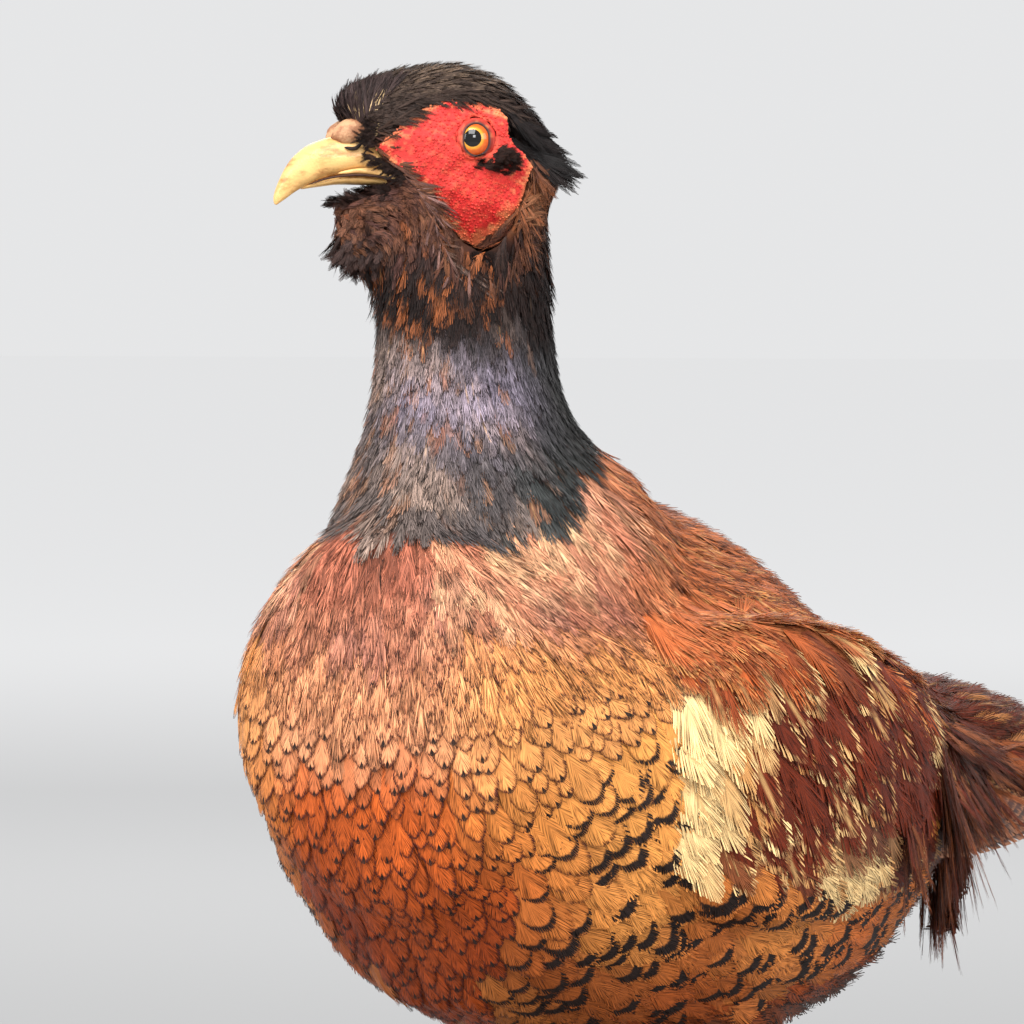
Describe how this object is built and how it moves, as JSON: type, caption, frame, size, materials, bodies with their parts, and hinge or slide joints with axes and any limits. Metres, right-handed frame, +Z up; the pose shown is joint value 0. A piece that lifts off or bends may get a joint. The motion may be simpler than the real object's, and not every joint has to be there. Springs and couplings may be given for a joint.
{
  "type": "mounted pheasant",
  "caption": "Mounted cock common pheasant, standing, dark head with red wattles turned aside, copper breast, folded wings and long tail, on a plain wooden plinth.",
  "frame": {"origin": "middle of the plinth's underside", "axes": "+Z up; the bird's body faces -Y and its tail runs to +Y; its left side is +X; the head looks 40 degrees to the bird's right"},
  "size_m": [0.2, 0.7866, 0.4237],
  "materials": {
    "stained_wood": "dark stained, satin varnish",
    "bare_skin": "matt velvety bare skin",
    "glass_eye": "polished eye, orange iris round a black pupil",
    "bill_horn": "pale yellow horn, slightly worn",
    "claw_horn": "dark horn",
    "leg_scale": "dry grey-brown scaled skin",
    "tail_feather": "buff-brown vanes with dark bars",
    "wing_feather": "chestnut and cream vanes",
    "rump_feather": "loose maroon-brown feathers",
    "neck_feather": "dark grey feathers with a lilac sheen",
    "head_feather": "short brown-black glossy feathers",
    "belly_feather": "dark brown downy feathers",
    "body_feather": "orange-copper feathers with dark edges"
  },
  "bodies": {
    "root": {"bill_lower": "bill_horn", "bill_upper": "bill_horn", "breast": "body_feather", "claw_left_hind": "claw_horn", "claw_left_inner": "claw_horn", "claw_left_middle": "claw_horn", "claw_left_outer": "claw_horn", "claw_right_hind": "claw_horn", "claw_right_inner": "claw_horn", "claw_right_middle": "claw_horn", "claw_right_outer": "claw_horn", "ear_tuft_left": "head_feather", "ear_tuft_right": "head_feather", "eye_left": "glass_eye", "eye_right": "glass_eye", "foot_left": "leg_scale", "foot_right": "leg_scale", "head": "head_feather", "neck_lower": "neck_feather", "neck_upper": "neck_feather", "rump": "rump_feather", "shank_left": "leg_scale", "shank_right": "leg_scale", "spur_left": "claw_horn", "spur_right": "claw_horn", "stand_base": "stained_wood", "tail_centre": "tail_feather", "tail_coverts": "rump_feather", "tail_left": "tail_feather", "tail_right": "tail_feather", "thigh_left": "belly_feather", "thigh_right": "belly_feather", "trunk": "body_feather", "wattle_left": "bare_skin", "wattle_right": "bare_skin", "wing_left": "wing_feather", "wing_right": "wing_feather", "wing_tip_left": "wing_feather", "wing_tip_right": "wing_feather"}
  },
  "joints": []
}
